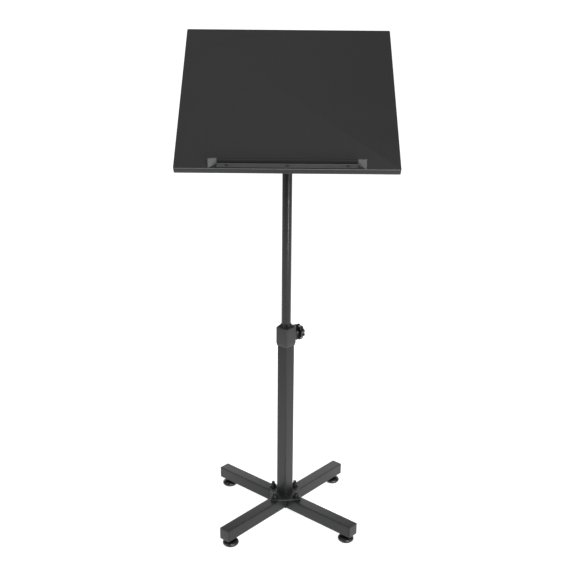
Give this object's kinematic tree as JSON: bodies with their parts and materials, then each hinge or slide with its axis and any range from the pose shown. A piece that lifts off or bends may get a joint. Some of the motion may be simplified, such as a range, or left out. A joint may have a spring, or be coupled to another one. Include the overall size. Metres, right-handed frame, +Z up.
{
  "type": "music stand",
  "caption": "Floor-standing music stand with a flat tilting board and edge stopper on a telescoping, clamped post over a cross base with levelling feet.",
  "frame": {"origin": "on the floor, on the post's vertical axis, which is also the centre of the cross base", "axes": "+Z up along the post; +Y is the back, away from the reader, who stands on the -Y side; +X is the reader's right"},
  "size_m": [0.45, 0.3459, 1.1342],
  "materials": {
    "powder_coat": "black fine-textured powder coat, satin",
    "black_laminate": "matte black laminate on fibreboard",
    "black_plastic": "moulded black, satin",
    "gloss_plastic": "moulded black, glossy",
    "black_steel": "black-oxide hardware, lightly oiled",
    "zinc_steel": "bright zinc plate",
    "brass": "turned insert",
    "nylon": "natural nylon",
    "rubber": "matte"
  },
  "bodies": {
    "base": {"base_bar": "powder_coat", "base_arm_rear": "powder_coat", "base_arm_front": "powder_coat", "end_cap_rear_right": "black_plastic", "end_cap_rear_left": "black_plastic", "end_cap_front_left": "black_plastic", "end_cap_front_right": "black_plastic", "foot_nut_rear_right": "zinc_steel", "foot_nut_rear_left": "zinc_steel", "foot_nut_front_left": "zinc_steel", "foot_nut_front_right": "zinc_steel", "flange_plate": "powder_coat", "base_bolt_rear_right": "black_steel", "base_bolt_rear_left": "black_steel", "base_bolt_front_left": "black_steel", "base_bolt_front_right": "black_steel", "base_nut_rear_right": "black_steel", "base_nut_rear_left": "black_steel", "base_nut_front_left": "black_steel", "base_nut_front_right": "black_steel", "column_tube": "powder_coat", "collar": "black_plastic", "clamp_nut": "brass"},
    "clamp_pad": {"clamp_pad": "nylon"},
    "clamp_knob": {"clamp_knob": "gloss_plastic", "clamp_stud": "zinc_steel"},
    "guide": {"post_guide": "nylon"},
    "post": {"upper_post": "powder_coat", "post_plug": "nylon", "guide_screw": "zinc_steel", "head_yoke": "powder_coat"},
    "board": {"board_panel": "black_laminate", "edge_stopper": "powder_coat", "stopper_screw_1": "black_steel", "stopper_screw_2": "black_steel", "stopper_screw_3": "black_steel", "tilt_bracket": "powder_coat", "bracket_screw_1": "zinc_steel", "bracket_screw_2": "zinc_steel", "bracket_screw_3": "zinc_steel", "bracket_screw_4": "zinc_steel", "pivot_bolt": "black_steel", "pivot_washer_left": "nylon", "pivot_washer_right": "nylon"},
    "tilt_washer": {"tilt_washer": "zinc_steel"},
    "tilt_knob": {"tilt_knob": "gloss_plastic", "tilt_knob_nut": "brass"},
    "foot_sole_rear_right": {"foot_sole_rear_right": "rubber"},
    "foot_rear_right": {"foot_disc_rear_right": "gloss_plastic", "foot_stud_rear_right": "zinc_steel"},
    "foot_sole_rear_left": {"foot_sole_rear_left": "rubber"},
    "foot_rear_left": {"foot_disc_rear_left": "gloss_plastic", "foot_stud_rear_left": "zinc_steel"},
    "foot_sole_front_left": {"foot_sole_front_left": "rubber"},
    "foot_front_left": {"foot_disc_front_left": "gloss_plastic", "foot_stud_front_left": "zinc_steel"},
    "foot_sole_front_right": {"foot_sole_front_right": "rubber"},
    "foot_front_right": {"foot_disc_front_right": "gloss_plastic", "foot_stud_front_right": "zinc_steel"}
  },
  "joints": [
    {"name": "height_slide", "type": "slide", "parent": "base", "child": "guide", "axis": [0, 0, 1], "range_m": [-0.31, 0.06]},
    {"name": "post_swivel", "type": "hinge", "parent": "guide", "child": "post", "pos_m": [0, 0, 0.4], "axis": [0, 0, 1], "continuous": true},
    {"name": "board_tilt", "type": "hinge", "parent": "post", "child": "board", "pos_m": [0, 0, 0.965], "axis": [1, 0, 0], "range_deg": [-41, 29]},
    {"name": "clamp_knob_turn", "type": "hinge", "parent": "clamp_pad", "child": "clamp_knob", "pos_m": [0, 0, 0.4575], "axis": [0.6529, 0.7575, 0], "range_deg": [0, 1080]},
    {"name": "clamp_pad_travel", "type": "slide", "parent": "base", "child": "clamp_pad", "axis": [0.6529, 0.7575, 0], "range_m": [0, 0.00375]},
    {"name": "tilt_knob_turn", "type": "hinge", "parent": "tilt_washer", "child": "tilt_knob", "pos_m": [0, 0, 0.965], "axis": [1, 0, 0], "range_deg": [0, 1080]},
    {"name": "tilt_washer_travel", "type": "slide", "parent": "board", "child": "tilt_washer", "axis": [1, 0, 0], "range_m": [0, 0.00375]},
    {"name": "foot_rear_right_turn", "type": "hinge", "parent": "foot_sole_rear_right", "child": "foot_rear_right", "pos_m": [0.1234, 0.14316, 0.002], "axis": [0, 0, -1], "range_deg": [-360, 2160]},
    {"name": "foot_rear_right_travel", "type": "slide", "parent": "base", "child": "foot_sole_rear_right", "axis": [0, 0, -1], "range_m": [-0.00125, 0.0075]},
    {"name": "foot_rear_left_turn", "type": "hinge", "parent": "foot_sole_rear_left", "child": "foot_rear_left", "pos_m": [-0.14316, 0.1234, 0.002], "axis": [0, 0, -1], "range_deg": [-360, 2160]},
    {"name": "foot_rear_left_travel", "type": "slide", "parent": "base", "child": "foot_sole_rear_left", "axis": [0, 0, -1], "range_m": [-0.00125, 0.0075]},
    {"name": "foot_front_left_turn", "type": "hinge", "parent": "foot_sole_front_left", "child": "foot_front_left", "pos_m": [-0.1234, -0.14316, 0.002], "axis": [0, 0, -1], "range_deg": [-360, 2160]},
    {"name": "foot_front_left_travel", "type": "slide", "parent": "base", "child": "foot_sole_front_left", "axis": [0, 0, -1], "range_m": [-0.00125, 0.0075]},
    {"name": "foot_front_right_turn", "type": "hinge", "parent": "foot_sole_front_right", "child": "foot_front_right", "pos_m": [0.14316, -0.1234, 0.002], "axis": [0, 0, -1], "range_deg": [-360, 2160]},
    {"name": "foot_front_right_travel", "type": "slide", "parent": "base", "child": "foot_sole_front_right", "axis": [0, 0, -1], "range_m": [-0.00125, 0.0075]}
  ],
  "couplings": [
    {"joint": "clamp_pad_travel", "follows": "clamp_knob_turn", "m_per_rad": 0.00019894},
    {"joint": "tilt_washer_travel", "follows": "tilt_knob_turn", "m_per_rad": 0.00019894},
    {"joint": "foot_rear_right_travel", "follows": "foot_rear_right_turn", "m_per_rad": 0.00019894},
    {"joint": "foot_rear_left_travel", "follows": "foot_rear_left_turn", "m_per_rad": 0.00019894},
    {"joint": "foot_front_left_travel", "follows": "foot_front_left_turn", "m_per_rad": 0.00019894},
    {"joint": "foot_front_right_travel", "follows": "foot_front_right_turn", "m_per_rad": 0.00019894}
  ]
}
